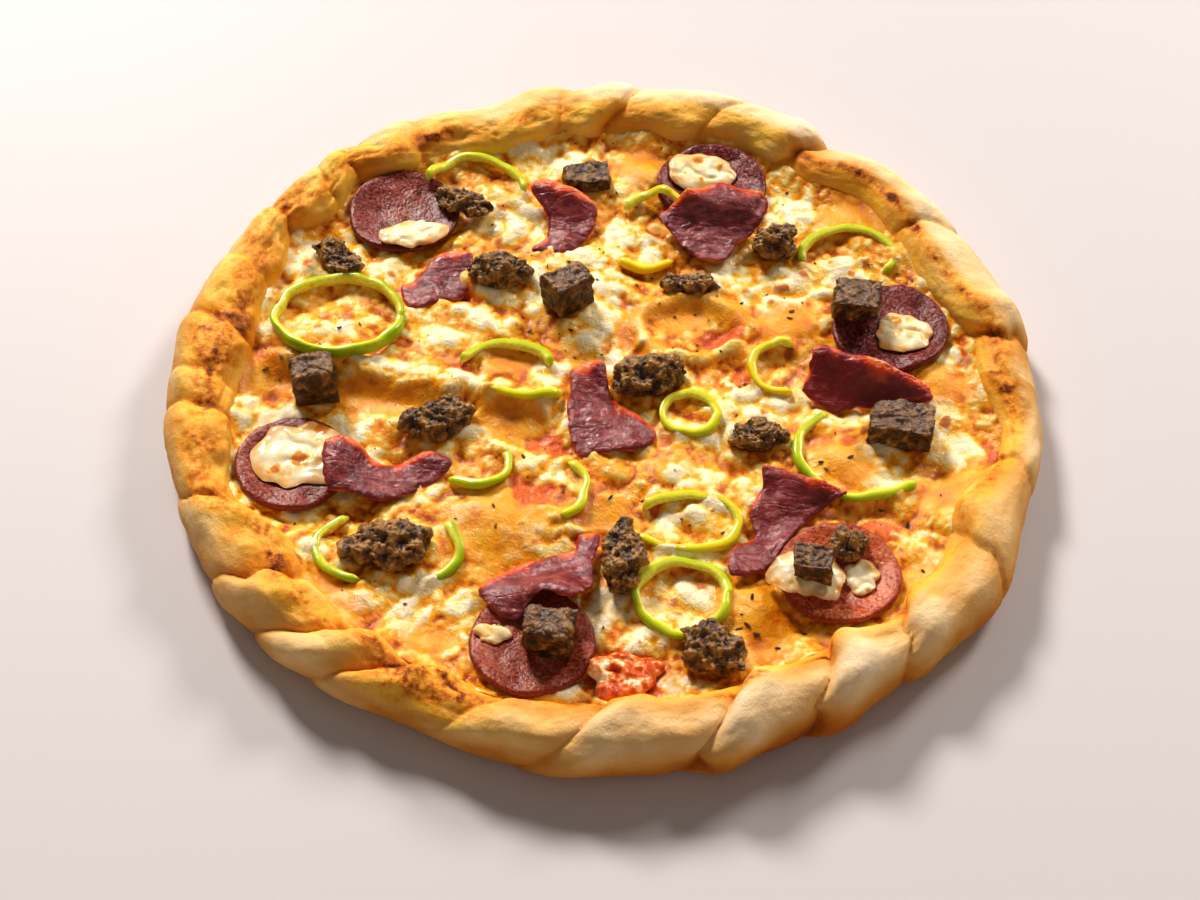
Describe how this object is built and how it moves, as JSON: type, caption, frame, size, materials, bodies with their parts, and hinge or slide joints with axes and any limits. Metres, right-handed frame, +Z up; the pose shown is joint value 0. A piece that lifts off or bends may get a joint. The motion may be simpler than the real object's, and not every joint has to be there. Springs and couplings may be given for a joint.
{
  "type": "ham and salami pizza",
  "caption": "Round uncut pizza with a rolled, pleated crust, topped with melted cheese, salami, curled cured ham, pepper rings, roast meat chunks and herbs.",
  "frame": {"origin": "middle of the flat underside", "axes": "+Z up out of the cheese, +X to the right and +Y away from the viewer in the picture"},
  "size_m": [0.3285, 0.3279, 0.0295],
  "materials": {
    "crust": "baked wheat dough, dry and floury, golden to tan with toasted spots",
    "cheese": "melted cheese, cream to golden with browned blisters and dried herbs, oily sheen",
    "salami": "sliced salami, dark red mottled with fat, oily sheen",
    "cheese_pool": "white melted cheese pooled on the toppings, satin",
    "sauce": "cooked chopped tomato sauce, wet",
    "pepper": "baked green pepper rings, yellow green, glossy skin",
    "ham": "dry cured ham slices, dark purple red with orange red translucent edges",
    "meat": "roasted meat chunks, dark brown, rough and slightly oily"
  },
  "bodies": {
    "root": {"dough": "crust", "cheese": "cheese", "salami_1": "salami", "salami_2": "salami", "salami_3": "salami", "salami_4": "salami", "salami_5": "salami", "salami_6": "salami", "cheese_pool_1": "cheese_pool", "cheese_pool_2": "cheese_pool", "cheese_pool_3": "cheese_pool", "cheese_pool_4": "cheese_pool", "cheese_pool_5": "cheese_pool", "cheese_pool_6": "cheese_pool", "cheese_pool_7": "cheese_pool", "tomato_sauce": "sauce", "pepper_1": "pepper", "pepper_2": "pepper", "pepper_3": "pepper", "pepper_4": "pepper", "pepper_5": "pepper", "pepper_6": "pepper", "pepper_7": "pepper", "pepper_8": "pepper", "pepper_9": "pepper", "pepper_10": "pepper", "pepper_11": "pepper", "pepper_12": "pepper", "pepper_13": "pepper", "pepper_14": "pepper", "pepper_15": "pepper", "pepper_16": "pepper", "ham_1": "ham", "ham_2": "ham", "ham_3": "ham", "ham_4": "ham", "ham_5": "ham", "ham_6": "ham", "ham_7": "ham", "ham_8": "ham", "meat_1": "meat", "meat_2": "meat", "meat_3": "meat", "meat_4": "meat", "meat_5": "meat", "meat_6": "meat", "meat_7": "meat", "meat_8": "meat", "meat_9": "meat", "meat_10": "meat", "meat_11": "meat", "meat_12": "meat", "meat_13": "meat", "meat_14": "meat", "meat_15": "meat", "meat_16": "meat", "meat_17": "meat", "meat_18": "meat", "meat_19": "meat"}
  },
  "joints": []
}
